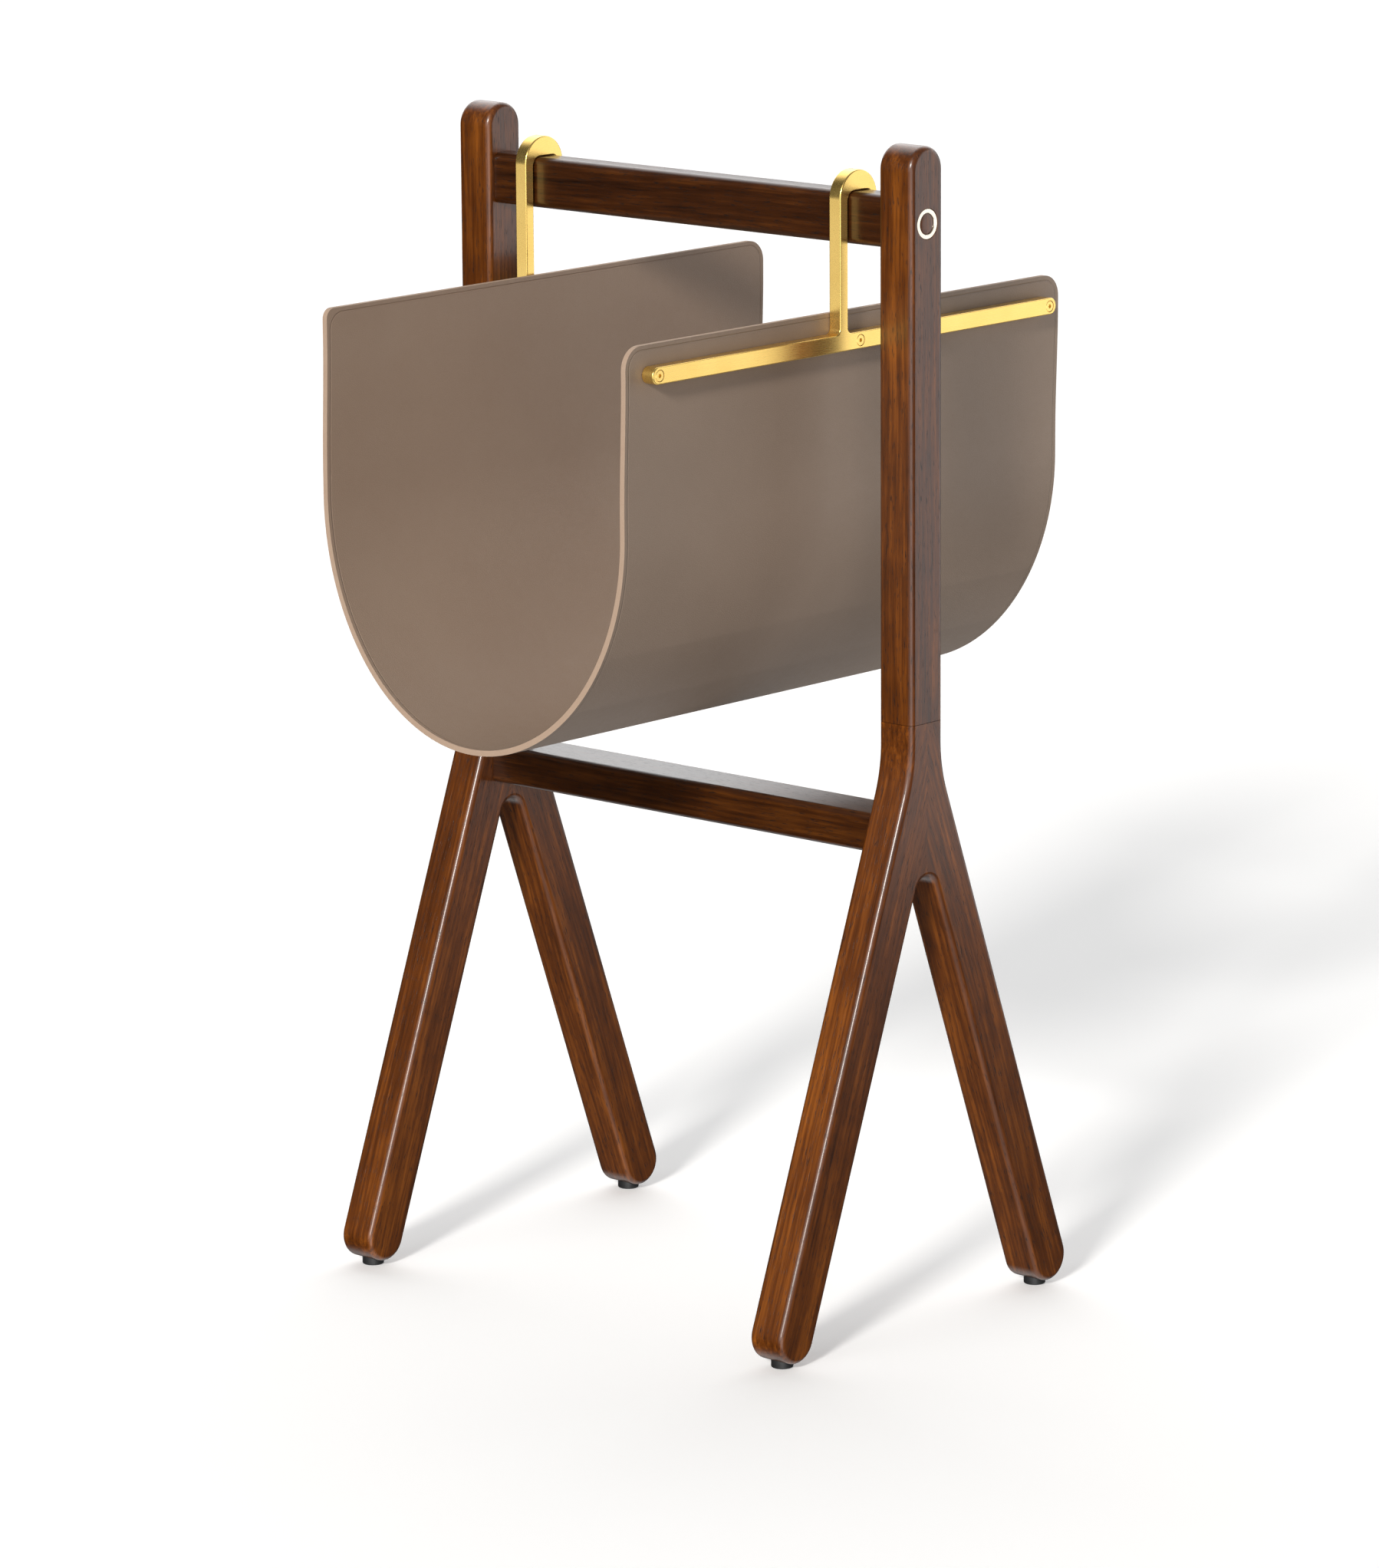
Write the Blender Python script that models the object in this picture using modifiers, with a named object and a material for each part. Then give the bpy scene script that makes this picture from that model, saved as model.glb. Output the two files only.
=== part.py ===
"""Magazine rack: two inverted-Y walnut side frames, two rails, and a leather sling on brass hangers.

X runs along the rails, Y along the trough of the sling, and Z is up. The origin is on the floor,
under the middle of the rack. All sizes are in metres.
"""
import bpy
import bmesh
from math import cos, pi, radians, sin, tan
from mathutils import Matrix, Vector

# ---- Driving dimensions -------------------------------------------------------------------------
GAP = 0.0003                    # clearance between two pieces that touch on the real rack

TOTAL_HEIGHT = 0.800            # floor to the top of the posts
FRAME_SPACING = 0.380           # between the middle planes of the two side frames
FRAME_THICKNESS = 0.029         # side frame, along X
POST_WIDTH = 0.0321             # upright, along Y
LEG_WIDTH = 0.0335              # leg, square to its own length
LEG_SPLAY = radians(20.1)       # leg from the vertical
FORK_HEIGHT = 0.385             # where the outer lines of post and leg would cross
FORK_BLEND_RADIUS = 0.100       # hollow curve from post to leg
CROTCH_RADIUS = 0.0105          # arch between the two legs
POST_JOINT_ABOVE_FORK = 0.0315  # glued joint between the upright and the two legs
FRAME_EDGE_RADIUS = 0.004       # rounding of every long edge of the side frames

RAIL_BELOW_TOP = 0.0509         # middle of the top rail's section under the top of the posts
RAIL_WIDTH = 0.0223             # top rail, along Y
RAIL_DEPTH = 0.0347             # top rail, along Z
RAIL_EDGE_RADIUS = 0.005

STRETCHER_BELOW_FORK = 0.0318   # lower rail, top face
STRETCHER_WIDTH = 0.0396        # lower rail, along Y
STRETCHER_DEPTH = 0.0266        # lower rail, along Z
STRETCHER_EDGE_RADIUS = 0.004

GLIDE_RADIUS = 0.0075
GLIDE_HEIGHT = 0.004            # wood of the leg above the floor
GLIDE_INSET = 0.002             # how deep the glide sits in the end of the leg
GLIDE_SCREW_RADIUS = 0.0015
GLIDE_SCREW_HEAD_RADIUS = 0.003
GLIDE_SCREW_HEAD_HEIGHT = 0.002
GLIDE_SCREW_LENGTH = 0.018
GLIDE_SCREW_RECESS = 0.0015     # screw head above the floor

DOWEL_RADIUS = 0.004
DOWEL_LENGTH = 0.036
POST_DOWEL_OFFSET = 0.008       # dowels from the upright into each leg, from the middle
CROSS_DOWEL_RADIUS = 0.003      # dowel that ties the two legs of a frame
CROSS_DOWEL_LENGTH = 0.020
CROSS_DOWEL_BELOW_FORK = 0.013
STRETCHER_DOWEL_OFFSET = 0.0105

RING_RADIUS = 0.0102            # brass inlay round the plug over the rail's bolt
RING_INNER_RADIUS = 0.0074
RING_DEPTH = 0.003
PLUG_DEPTH = 0.005
BOLT_HEAD_RADIUS = 0.005
BOLT_HEAD_HEIGHT = 0.005
BOLT_RADIUS = 0.003
BOLT_LENGTH = 0.048             # under the head
INSERT_RADIUS = 0.005           # threaded bush in the end of the top rail
INSERT_LENGTH = 0.020

SIDE_CLEARANCE = 0.0287         # hanger to the inner face of the side frame
SLING_LENGTH = 0.437            # along Y
SLING_BELOW_RAIL = 0.04545      # top edge of the leather under the top rail
SLING_DEPTH = 0.2848            # top edge to the lowest point of the outside
SLING_PANEL_DEPTH = 0.1243      # top edge to where the sides turn in to the bottom
SLING_BELLY_SHIFT = -0.003      # the trough hangs a little to one side
LEATHER_THICKNESS = 0.004
SLING_CORNER_RADIUS = 0.015

HANGER_THICKNESS = 0.010        # brass plate, along X
BAR_END_MARGIN = 0.0147         # leather past each end of the hanger's foot
BAR_DEPTH = 0.0115
BAR_BELOW_SLING_TOP = 0.0193    # middle of the foot under the top edge of the leather
STEM_WIDTH = 0.0077
STEM_CLEARANCE = 0.0015         # stem to the face of the top rail
HOOK_BACK_CLEARANCE = 0.0004    # tail to the other face of the top rail
HOOK_BACK_WIDTH = 0.0052
HOOK_TAIL = 0.012               # tail below the top of the rail
HOOK_CROWN = 0.0139             # brass above the top of the rail
STEM_FILLET_RADIUS = 0.004

SCREW_END_MARGIN = 0.0068       # outer screws from the ends of the foot
SCREW_HEAD_RADIUS = 0.0038
SCREW_HEAD_HEIGHT = 0.0022
SCREW_RADIUS = 0.0018
STRIP_THICKNESS = 0.0012        # steel strip sewn into the leather behind each foot
STRIP_DEPTH = 0.010
STRIP_END_MARGIN = 0.006        # strip past the outer screws
STRIP_SKIN = 0.0011             # leather left on the inner side of the strip

# ---- Derived places -----------------------------------------------------------------------------
FRAME_X = FRAME_SPACING / 2
INNER_FACE_X = FRAME_X - FRAME_THICKNESS / 2
OUTER_FACE_X = FRAME_X + FRAME_THICKNESS / 2
HALF_POST = POST_WIDTH / 2
HALF_LEG = LEG_WIDTH / 2
POST_TOP_CENTRE = TOTAL_HEIGHT - HALF_POST
FOOT_CENTRE_HEIGHT = GLIDE_HEIGHT + HALF_LEG
POST_JOINT_HEIGHT = FORK_HEIGHT + POST_JOINT_ABOVE_FORK
CROSS_DOWEL_HEIGHT = FORK_HEIGHT - CROSS_DOWEL_BELOW_FORK
RAIL_CENTRE_HEIGHT = TOTAL_HEIGHT - RAIL_BELOW_TOP
RAIL_TOP = RAIL_CENTRE_HEIGHT + RAIL_DEPTH / 2
STRETCHER_HEIGHT = FORK_HEIGHT - STRETCHER_BELOW_FORK - STRETCHER_DEPTH / 2
SLING_TOP = RAIL_CENTRE_HEIGHT - RAIL_DEPTH / 2 - SLING_BELOW_RAIL
SLING_BOTTOM = SLING_TOP - SLING_DEPTH
SLING_BELLY_HEIGHT = SLING_TOP - SLING_PANEL_DEPTH
BAR_HEIGHT = SLING_TOP - BAR_BELOW_SLING_TOP
BAR_LENGTH = SLING_LENGTH - 2 * BAR_END_MARGIN
SCREW_SPACING = BAR_LENGTH / 2 - SCREW_END_MARGIN
HANGER_OUTER_X = INNER_FACE_X - SIDE_CLEARANCE
HANGER_INNER_X = HANGER_OUTER_X - HANGER_THICKNESS
SLING_HALF_WIDTH = HANGER_INNER_X - GAP


def leg_outer_y(z):
    """Distance from the middle to the outer line of a leg at height z."""
    return HALF_POST + (FORK_HEIGHT - z) * tan(LEG_SPLAY)


FOOT_Y = leg_outer_y(FOOT_CENTRE_HEIGHT) - HALF_LEG / cos(LEG_SPLAY)

# ---- Scene and helpers --------------------------------------------------------------------------
for old in list(bpy.data.objects):
    bpy.data.objects.remove(old, do_unlink=True)

rack = bpy.data.collections.new("magazine_rack")
tools = bpy.data.collections.new("cutters")
bpy.context.scene.collection.children.link(rack)
bpy.context.scene.collection.children.link(tools)


def finish(name, colour, roughness, metallic):
    """A Principled material."""
    material = bpy.data.materials.new(name)
    material.use_nodes = True
    shader = material.node_tree.nodes["Principled BSDF"]
    shader.inputs["Base Color"].default_value = (*colour, 1.0)
    shader.inputs["Roughness"].default_value = roughness
    shader.inputs["Metallic"].default_value = metallic
    material.diffuse_color = (*colour, 1.0)
    return material


WALNUT = finish("walnut", (0.16, 0.065, 0.028), 0.45, 0.0)
BEECH = finish("beech", (0.55, 0.36, 0.20), 0.6, 0.0)
BRASS = finish("brass", (0.83, 0.60, 0.25), 0.28, 1.0)
STEEL = finish("steel", (0.55, 0.55, 0.56), 0.35, 1.0)
LEATHER = finish("leather", (0.24, 0.19, 0.14), 0.6, 0.0)
NYLON = finish("nylon", (0.015, 0.015, 0.015), 0.5, 0.0)


def add_object(name, mesh, material, collection=rack):
    """Put a mesh in the scene as one named piece."""
    piece = bpy.data.objects.new(name, mesh)
    collection.objects.link(piece)
    if material is not None:
        mesh.materials.clear()
        mesh.materials.append(material)
    return piece


def arc(centre, radius, start, end, steps):
    """Points on an arc, angles in radians."""
    return [(centre[0] + radius * cos(start + (end - start) * i / steps),
             centre[1] + radius * sin(start + (end - start) * i / steps))
            for i in range(steps + 1)]


def rounded_rectangle(width, depth, radius, steps=4):
    """Outline of a rectangle with round corners about the origin."""
    a = width / 2 - radius
    b = depth / 2 - radius
    return (arc((a, b), radius, 0, pi / 2, steps) + arc((-a, b), radius, pi / 2, pi, steps)
            + arc((-a, -b), radius, pi, 1.5 * pi, steps) + arc((a, -b), radius, 1.5 * pi, 2 * pi, steps))


def plate_mesh(name, outline, thickness):
    """A flat outline (first value along Y, second along Z) with a thickness along X, as a mesh."""
    curve = bpy.data.curves.new(name, "CURVE")
    curve.dimensions = "2D"
    curve.fill_mode = "BOTH"
    curve.extrude = thickness / 2
    spline = curve.splines.new("POLY")
    spline.points.add(len(outline) - 1)
    for point, (across, up) in zip(spline.points, outline):
        point.co = (across, up, 0.0, 1.0)
    spline.use_cyclic_u = True
    drawn = bpy.data.objects.new(name, curve)
    tools.objects.link(drawn)
    # The curve lies in its own XY plane; its axes turn to Y, Z and X.
    drawn.matrix_world = Matrix(((0, 0, 1, 0), (1, 0, 0, 0), (0, 1, 0, 0), (0, 0, 0, 1)))
    bpy.context.view_layer.update()
    mesh = bpy.data.meshes.new_from_object(drawn.evaluated_get(bpy.context.evaluated_depsgraph_get()))
    mesh.transform(drawn.matrix_world)
    bpy.data.objects.remove(drawn)
    shape = bmesh.new()
    shape.from_mesh(mesh)
    bmesh.ops.remove_doubles(shape, verts=shape.verts, dist=0.00001)
    bmesh.ops.dissolve_limit(shape, angle_limit=radians(1), verts=shape.verts, edges=shape.edges)
    bmesh.ops.recalc_face_normals(shape, faces=shape.faces)
    shape.to_mesh(mesh)
    shape.free()
    return mesh


def cylinder_mesh(name, radius, length, sides, axis):
    """A cylinder centred on the origin."""
    shape = bmesh.new()
    bmesh.ops.create_cone(shape, cap_ends=True, segments=sides, radius1=radius, radius2=radius, depth=length)
    turn = {"X": Matrix.Rotation(pi / 2, 4, "Y"), "Y": Matrix.Rotation(-pi / 2, 4, "X"), "Z": Matrix.Identity(4)}
    bmesh.ops.transform(shape, matrix=turn[axis], verts=shape.verts)
    mesh = bpy.data.meshes.new(name)
    shape.to_mesh(mesh)
    shape.free()
    return mesh


def box_mesh(name, size):
    """A box centred on the origin."""
    shape = bmesh.new()
    bmesh.ops.create_cube(shape, size=1.0)
    bmesh.ops.scale(shape, vec=size, verts=shape.verts)
    mesh = bpy.data.meshes.new(name)
    shape.to_mesh(mesh)
    shape.free()
    return mesh


def cutter(name, mesh, location):
    """A tool that removes or keeps wood or metal; it is not part of the rack."""
    tool = add_object(name, mesh, None, tools)
    tool.location = location
    tool.hide_render = True
    tool.display_type = "WIRE"
    return tool


def hole(name, radius, start, end, axis, sides=24):
    """A round cutter along one axis, from start to end."""
    start = Vector(start)
    end = Vector(end)
    return cutter(name, cylinder_mesh(name, radius, (end - start).length, sides, axis), (start + end) / 2)


def stepped_hole(name, steps, axis, location, sides=24):
    """A turned cutter: (radius, height) pairs for the ends of each width, from the mouth down."""
    profile = [(0.0, steps[0][1])] + steps + [(0.0, steps[-1][1])]
    tool = turned(name, profile, axis, sides, None, location, tools)
    tool.hide_render = True
    tool.display_type = "WIRE"
    return tool


def cut(piece, tool, operation="DIFFERENCE"):
    """Cut one piece with one tool."""
    modifier = piece.modifiers.new(tool.name, "BOOLEAN")
    modifier.operation = operation
    modifier.solver = "EXACT"
    modifier.object = tool


def round_edges(piece, radius, segments):
    """Round every sharp edge of a piece."""
    modifier = piece.modifiers.new("rounded edges", "BEVEL")
    modifier.width = radius
    modifier.segments = segments
    modifier.limit_method = "ANGLE"
    modifier.angle_limit = radians(40)
    weld = piece.modifiers.new("merged corners", "WELD")
    weld.merge_threshold = 0.00002


def smooth(piece, angle=radians(35)):
    """Shade a round piece smooth between its sharp edges."""
    piece.data.shade_smooth()
    piece.data.set_sharp_from_angle(angle=angle)


def turned(name, profile, axis, sides, material, location, collection=rack):
    """A turned piece: a profile of (radius, height) from the top of its axis down to the bottom."""
    mesh = bpy.data.meshes.new(name)
    shape = bmesh.new()
    row = [shape.verts.new((radius, 0.0, height)) for radius, height in profile]
    for first, second in zip(row, row[1:]):
        shape.edges.new((first, second))
    shape.to_mesh(mesh)
    shape.free()
    piece = add_object(name, mesh, material, collection)
    piece.location = location
    if axis == "+X":
        piece.rotation_euler = (0.0, pi / 2, 0.0)
    elif axis == "-X":
        piece.rotation_euler = (0.0, -pi / 2, 0.0)
    screw = piece.modifiers.new("turn", "SCREW")
    screw.steps = sides
    screw.render_steps = sides
    screw.use_merge_vertices = True
    screw.merge_threshold = 0.00001
    return piece


# ---- Side frames --------------------------------------------------------------------------------
def frame_outline():
    """Inverted Y in the Y-Z plane, run counter-clockwise from the outside of the rear foot."""
    splay = LEG_SPLAY
    foot = (FOOT_Y, FOOT_CENTRE_HEIGHT)
    # Foot: a half circle across the end of the leg.
    points = arc(foot, HALF_LEG, splay - pi, splay, 14)
    # Hollow blend from the leg's outer line to the side of the post.
    tangent = FORK_BLEND_RADIUS * tan(splay / 2)
    blend_centre = (HALF_POST + FORK_BLEND_RADIUS, FORK_HEIGHT + tangent)
    points += arc(blend_centre, FORK_BLEND_RADIUS, pi + splay, pi, 5)
    # Top: a half circle over the post.
    points += arc((0.0, POST_TOP_CENTRE), HALF_POST, 0.0, pi / 2, 8)
    left = [(-across, up) for across, up in reversed(points[:-1])]
    # Crotch: an arch that meets the inner line of each leg.
    apex = FORK_HEIGHT - (LEG_WIDTH / cos(splay) - HALF_POST) / tan(splay)
    crotch_centre = (0.0, apex - CROTCH_RADIUS / sin(splay))
    arch = arc(crotch_centre, CROTCH_RADIUS, pi - splay, splay, 8)
    return points + left + arch


FRAME_EXTENT = TOTAL_HEIGHT * 1.5


def frame_piece(name, x, low, high):
    """The part of one side frame that lies in the Y-Z region from low to high."""
    piece = add_object(name, plate_mesh(name, frame_outline(), FRAME_THICKNESS), WALNUT)
    piece.location = (x, 0.0, 0.0)
    round_edges(piece, FRAME_EDGE_RADIUS, 3)
    size = (FRAME_THICKNESS * 2, high[0] - low[0], high[1] - low[1])
    centre = (x, (low[0] + high[0]) / 2, (low[1] + high[1]) / 2)
    cut(piece, cutter(name + "_region", box_mesh(name + "_region", size), centre), "INTERSECT")
    smooth(piece)
    return piece


def dowel(name, radius, length, axis, location):
    """A plain round pin."""
    piece = add_object(name, cylinder_mesh(name, radius, length, 20, axis), BEECH)
    piece.location = location
    smooth(piece)
    return piece


def dowel_hole(piece, name, radius, length, axis, location):
    """The hole for a pin, with its clearance."""
    direction = {"X": Vector((1, 0, 0)), "Y": Vector((0, 1, 0)), "Z": Vector((0, 0, 1))}[axis]
    half = direction * (length / 2 + GAP)
    centre = Vector(location)
    cut(piece, hole(name, radius + GAP, centre - half, centre + half, axis, 20))


def make_side_frame(side, label):
    """One inverted Y: upright, two legs, their dowels, glides, and the seat of the top rail's bolt."""
    x = side * FRAME_X
    half_gap = GAP / 2
    upright = frame_piece(label + "_upright", x, (-FRAME_EXTENT, POST_JOINT_HEIGHT + half_gap),
                          (FRAME_EXTENT, FRAME_EXTENT))
    legs = {
        -1: frame_piece(label + "_front_leg", x, (-FRAME_EXTENT, -FRAME_EXTENT),
                        (-half_gap, POST_JOINT_HEIGHT - half_gap)),
        1: frame_piece(label + "_rear_leg", x, (half_gap, -FRAME_EXTENT),
                       (FRAME_EXTENT, POST_JOINT_HEIGHT - half_gap)),
    }
    # One cross dowel ties the legs.
    name = label + "_cross_dowel"
    place = (x, 0.0, CROSS_DOWEL_HEIGHT)
    dowel(name, CROSS_DOWEL_RADIUS, CROSS_DOWEL_LENGTH, "Y", place)
    for leg in legs.values():
        dowel_hole(leg, name + "_hole_" + leg.name, CROSS_DOWEL_RADIUS, CROSS_DOWEL_LENGTH, "Y", place)
    for end, leg in legs.items():
        word = "front" if end < 0 else "rear"
        # A dowel from each leg up into the upright.
        name = label + "_" + word + "_post_dowel"
        place = (x, end * POST_DOWEL_OFFSET, POST_JOINT_HEIGHT)
        dowel(name, DOWEL_RADIUS, DOWEL_LENGTH, "Z", place)
        for piece in (leg, upright):
            dowel_hole(piece, name + "_hole_" + piece.name, DOWEL_RADIUS, DOWEL_LENGTH, "Z", place)
        # A dowel from each leg into the lower rail.
        name = label + "_" + word + "_stretcher_dowel"
        place = (side * INNER_FACE_X, end * STRETCHER_DOWEL_OFFSET, STRETCHER_HEIGHT)
        dowel(name, DOWEL_RADIUS, DOWEL_LENGTH, "X", place)
        for piece in (leg, stretcher):
            dowel_hole(piece, name + "_hole_" + piece.name, DOWEL_RADIUS, DOWEL_LENGTH, "X", place)
        make_glide(label + "_" + word, leg, x, end * FOOT_Y)
    make_bolt(label, side, upright)


def make_glide(label, leg, x, y):
    """A nylon glide let into the round end of a leg, and the screw that holds it."""
    top = GLIDE_HEIGHT + GLIDE_INSET
    head_top = GLIDE_SCREW_RECESS + GLIDE_SCREW_HEAD_HEIGHT
    tip = GLIDE_SCREW_RECESS + GLIDE_SCREW_LENGTH
    pilot = GLIDE_SCREW_RADIUS + GAP
    seat = GLIDE_RADIUS + GAP
    steps = [(pilot, tip + GAP), (pilot, top + GAP), (seat, top + GAP), (seat, -GLIDE_HEIGHT)]
    cut(leg, stepped_hole(label + "_glide_seat", steps, "Z", (x, y, 0.0), 28))
    glide = add_object(label + "_glide", cylinder_mesh(label + "_glide", GLIDE_RADIUS, top, 28, "Z"), NYLON)
    glide.location = (x, y, top / 2)
    round_edges(glide, 0.0008, 2)
    well = GLIDE_SCREW_HEAD_RADIUS + GAP
    bore = GLIDE_SCREW_RADIUS + GAP
    steps = [(bore, top * 2), (bore, head_top + GAP), (well, head_top + GAP), (well, -GLIDE_HEIGHT)]
    cut(glide, stepped_hole(label + "_glide_bore", steps, "Z", (x, y, 0.0), 20))
    smooth(glide)
    screw = turned(label + "_glide_screw",
                   [(0.0, tip), (GLIDE_SCREW_RADIUS, tip - GLIDE_SCREW_RADIUS), (GLIDE_SCREW_RADIUS, head_top),
                    (GLIDE_SCREW_HEAD_RADIUS, head_top), (GLIDE_SCREW_HEAD_RADIUS, GLIDE_SCREW_RECESS),
                    (0.0, GLIDE_SCREW_RECESS)], "Z", 16, STEEL, (x, y, 0.0))
    smooth(screw)


def make_bolt(label, side, upright):
    """Bolt through the upright into the top rail, under a wood plug with a brass ring round it."""
    z = RAIL_CENTRE_HEIGHT
    outer = side * OUTER_FACE_X
    head_start = PLUG_DEPTH + GAP
    head_end = head_start + BOLT_HEAD_HEIGHT
    tip = head_end + BOLT_LENGTH
    axis = "+X" if side > 0 else "-X"
    seat = RING_RADIUS + GAP
    well = RING_INNER_RADIUS - GAP
    bore = BOLT_RADIUS + GAP
    steps = [(seat, FRAME_THICKNESS), (seat, -RING_DEPTH - GAP), (well, -RING_DEPTH - GAP),
             (well, -head_end - GAP), (bore, -head_end - GAP), (bore, -2 * FRAME_THICKNESS)]
    cut(upright, stepped_hole(label + "_bolt_hole", steps, axis, (outer, 0.0, z), 40))
    socket = INSERT_RADIUS + GAP
    socket_end = FRAME_THICKNESS + 2 * GAP + INSERT_LENGTH
    steps = [(socket, -FRAME_THICKNESS / 2), (socket, -socket_end), (bore, -socket_end), (bore, -tip - GAP)]
    cut(top_rail, stepped_hole(label + "_insert_hole", steps, axis, (outer, 0.0, z)))
    turned(label + "_bolt_ring",
           [(RING_INNER_RADIUS, -GAP), (RING_RADIUS, -GAP), (RING_RADIUS, -RING_DEPTH),
            (RING_INNER_RADIUS, -RING_DEPTH), (RING_INNER_RADIUS, -GAP)], axis, 40, BRASS, (outer, 0.0, z))
    plug_radius = RING_INNER_RADIUS - 2 * GAP
    turned(label + "_bolt_plug", [(0.0, -GAP), (plug_radius, -GAP), (plug_radius, -PLUG_DEPTH),
                                  (0.0, -PLUG_DEPTH)], axis, 32, WALNUT, (outer, 0.0, z))
    turned(label + "_rail_bolt",
           [(0.0, -head_start), (BOLT_HEAD_RADIUS, -head_start), (BOLT_HEAD_RADIUS, -head_end),
            (BOLT_RADIUS, -head_end), (BOLT_RADIUS, -tip), (0.0, -tip)], axis, 24, STEEL, (outer, 0.0, z))
    insert_start = FRAME_THICKNESS + 2 * GAP
    insert_end = socket_end - GAP
    turned(label + "_rail_insert",
           [(bore, -insert_start), (INSERT_RADIUS, -insert_start), (INSERT_RADIUS, -insert_end),
            (bore, -insert_end), (bore, -insert_start)],
           axis, 24, BRASS, (outer, 0.0, z))


# ---- Rails --------------------------------------------------------------------------------------
def make_rail(name, width, depth, radius, height):
    """A straight rail along X with rounded long edges and square ends."""
    outline = rounded_rectangle(width, depth, radius)
    piece = add_object(name, plate_mesh(name, outline, 2 * (INNER_FACE_X - GAP)), WALNUT)
    piece.location = (0.0, 0.0, height)
    smooth(piece)
    return piece


# ---- Leather sling ------------------------------------------------------------------------------
def sling_profile():
    """Outside of the sling in the X-Z plane, from the top of one panel round to the other."""
    straight_steps = 8
    corner_steps = 6
    belly_steps = 40
    depth = SLING_BELLY_HEIGHT - SLING_BOTTOM
    half = []
    # Close points down the rounded corner, then wider ones down the rest of the panel.
    for i in range(corner_steps):
        half.append((SLING_HALF_WIDTH, SLING_TOP - SLING_CORNER_RADIUS * (1 - cos(pi / 2 * i / corner_steps))))
    run = SLING_TOP - SLING_CORNER_RADIUS - SLING_BELLY_HEIGHT
    for i in range(straight_steps):
        half.append((SLING_HALF_WIDTH, SLING_TOP - SLING_CORNER_RADIUS - run * i / straight_steps))
    belly = arc((0.0, 0.0), 1.0, 0.0, -pi, belly_steps)
    below = [(SLING_HALF_WIDTH * across + SLING_BELLY_SHIFT * up * up, SLING_BELLY_HEIGHT + depth * up)
             for across, up in belly]
    return half + below + [(-across, up) for across, up in reversed(half)]


def make_sling():
    """One sheet of saddle leather in a deep U, with rounded top corners and holes for the screws."""
    shape = bmesh.new()
    near = [shape.verts.new((across, -SLING_LENGTH / 2, up)) for across, up in sling_profile()]
    edges = [shape.edges.new(pair) for pair in zip(near, near[1:])]
    made = bmesh.ops.extrude_edge_only(shape, edges=edges)
    far = [item for item in made["geom"] if isinstance(item, bmesh.types.BMVert)]
    bmesh.ops.translate(shape, verts=far, vec=(0.0, SLING_LENGTH, 0.0))
    # Pull both ends of the rows near the top in, along the round of the corner.
    for vert in shape.verts:
        above = vert.co.z - (SLING_TOP - SLING_CORNER_RADIUS)
        if above > 0.0:
            pull = SLING_CORNER_RADIUS - (max(SLING_CORNER_RADIUS ** 2 - above ** 2, 0.0)) ** 0.5
            vert.co.y -= pull if vert.co.y > 0 else -pull
    bmesh.ops.recalc_face_normals(shape, faces=shape.faces)
    middle = min(shape.faces, key=lambda face: face.calc_center_median().z)
    if middle.normal.z > 0:
        bmesh.ops.reverse_faces(shape, faces=shape.faces)
    mesh = bpy.data.meshes.new("leather_sling")
    shape.to_mesh(mesh)
    shape.free()
    piece = add_object("leather_sling", mesh, LEATHER)
    wall = piece.modifiers.new("thickness", "SOLIDIFY")
    wall.thickness = LEATHER_THICKNESS
    wall.offset = -1.0
    wall.use_even_offset = True
    smooth(piece, radians(50))
    return piece


# ---- Brass hangers ------------------------------------------------------------------------------
def hanger_outline():
    """Hook, stem and foot in the Y-Z plane, run clockwise from the end of the hook's tail."""
    stem_right = -RAIL_WIDTH / 2 - STEM_CLEARANCE
    stem_left = stem_right - STEM_WIDTH
    slot_right = RAIL_WIDTH / 2 + HOOK_BACK_CLEARANCE
    hook_right = slot_right + HOOK_BACK_WIDTH
    slot_top = RAIL_TOP + GAP
    crown_radius = (hook_right - stem_left) / 2
    crown = ((hook_right + stem_left) / 2, RAIL_TOP + HOOK_CROWN - crown_radius)
    tail_radius = HOOK_BACK_WIDTH / 2
    tail = (slot_right + tail_radius, RAIL_TOP - HOOK_TAIL + tail_radius)
    corner = RAIL_EDGE_RADIUS + STEM_CLEARANCE
    back_corner = RAIL_EDGE_RADIUS + GAP
    fillet = STEM_FILLET_RADIUS
    bar_top = BAR_HEIGHT + BAR_DEPTH / 2
    end = BAR_DEPTH / 2
    bar_centre = BAR_LENGTH / 2 - end
    points = arc(tail, tail_radius, -pi, 0.0, 6)
    points += arc(crown, crown_radius, 0.0, pi, 24)
    points += arc((stem_left - fillet, bar_top + fillet), fillet, 0.0, -pi / 2, 4)
    points += arc((-bar_centre, BAR_HEIGHT), end, pi / 2, 1.5 * pi, 8)
    points += arc((bar_centre, BAR_HEIGHT), end, -pi / 2, pi / 2, 8)
    points += arc((stem_right + fillet, bar_top + fillet), fillet, 1.5 * pi, pi, 4)
    points += arc((stem_right + corner, slot_top - corner), corner, pi, pi / 2, 6)
    points += arc((slot_right - back_corner, slot_top - back_corner), back_corner, pi / 2, 0.0, 6)
    return points


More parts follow.
